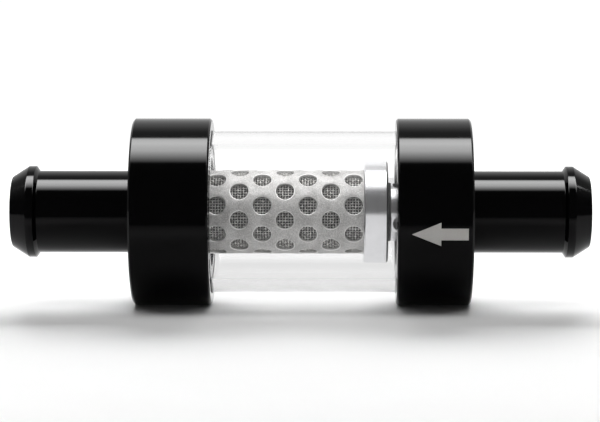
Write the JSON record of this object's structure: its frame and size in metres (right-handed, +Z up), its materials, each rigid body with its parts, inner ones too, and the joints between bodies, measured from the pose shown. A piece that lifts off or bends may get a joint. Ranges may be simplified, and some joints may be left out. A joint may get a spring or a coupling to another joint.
{
  "type": "fuel filter",
  "caption": "In-line fuel filter: a clear glass body clamped between black end caps with beaded hose tails, around a washable stainless mesh element.",
  "frame": {"origin": "middle of the filter's length, on its axis", "axes": "+X along the axis from the outlet to the inlet, +Z up, -Y towards the side that carries the flow arrow"},
  "size_m": [0.0896, 0.029, 0.029],
  "materials": {
    "black_anodised": "gloss black anodised",
    "clear_glass": "clear polished",
    "nitrile_rubber": "matt moulded",
    "ptfe": "matt",
    "satin_stainless": "satin rolled",
    "stainless_mesh": "woven wire",
    "turned_aluminium": "bright turned"
  },
  "bodies": {
    "outlet_end": {"outlet_cap": "black_anodised", "outlet_glass_seal": "nitrile_rubber", "outlet_glass_cushion": "ptfe"},
    "element_gasket": {"element_seal": "nitrile_rubber"},
    "element": {"element_collar": "turned_aluminium", "perforated_tube": "satin_stainless", "mesh_sleeve": "stainless_mesh", "element_plug": "turned_aluminium", "stem_washer": "nitrile_rubber", "hollow_stem": "turned_aluminium"},
    "glass": {"glass_tube": "clear_glass"},
    "inlet_seals": {"inlet_glass_seal": "nitrile_rubber", "inlet_glass_cushion": "ptfe"},
    "inlet_end": {"inlet_cap": "black_anodised"}
  },
  "joints": [
    {"name": "element_travel", "type": "slide", "parent": "outlet_end", "child": "element_gasket", "axis": [1, 0, 0], "range_m": [0, 0.005]},
    {"name": "element_turn", "type": "hinge", "parent": "element_gasket", "child": "element", "pos_m": [0, 0, 0], "axis": [1, 0, 0], "range_deg": [0, 1800]},
    {"name": "glass_travel", "type": "slide", "parent": "element", "child": "glass", "axis": [1, 0, 0], "range_m": [0, 0.003]},
    {"name": "inlet_cap_travel", "type": "slide", "parent": "element", "child": "inlet_seals", "axis": [1, 0, 0], "range_m": [0, 0.006]},
    {"name": "inlet_cap_turn", "type": "hinge", "parent": "inlet_seals", "child": "inlet_end", "pos_m": [0, 0, 0], "axis": [1, 0, 0], "range_deg": [0, 2160]}
  ],
  "couplings": [
    {"joint": "element_turn", "follows": "element_travel", "rad_per_m": 6283.2},
    {"joint": "inlet_cap_turn", "follows": "inlet_cap_travel", "rad_per_m": 6283.2},
    {"joint": "glass_travel", "follows": "inlet_cap_travel", "ratio": 0.5}
  ]
}
